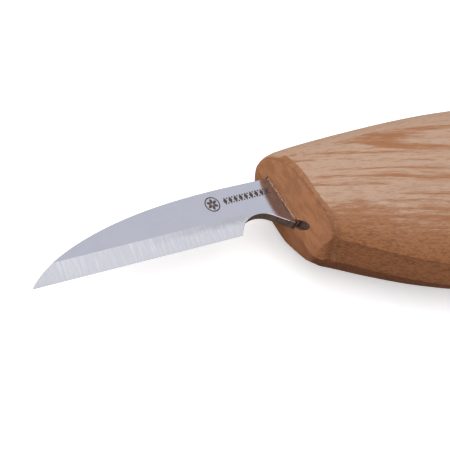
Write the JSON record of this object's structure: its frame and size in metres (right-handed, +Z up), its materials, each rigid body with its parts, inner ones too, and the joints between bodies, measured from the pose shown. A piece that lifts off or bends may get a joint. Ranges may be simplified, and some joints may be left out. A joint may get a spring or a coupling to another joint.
{
  "type": "whittling knife",
  "caption": "Fixed-blade whittling knife: short straight-edged steel blade, its tang glued into an oval hardwood handle with a swelling palm and a bevelled nose.",
  "frame": {"origin": "centre of the knife's footprint, on the surface that it lies on", "axes": "+X runs from the blade's tip to the butt, +Y from the cutting edge to the spine, +Z up across the thickness of blade and handle; the knife lies on the flat of one cheek"},
  "size_m": [0.163, 0.0388, 0.0203],
  "materials": {
    "blade_steel": "satin, fine grinding marks across the bevel",
    "handle_wood": "open-pored ring-porous hardwood, sanded and oiled",
    "tang_resin": "cured resin"
  },
  "bodies": {
    "root": {"blade": "blade_steel", "handle": "handle_wood", "tang_epoxy": "tang_resin"}
  },
  "joints": []
}
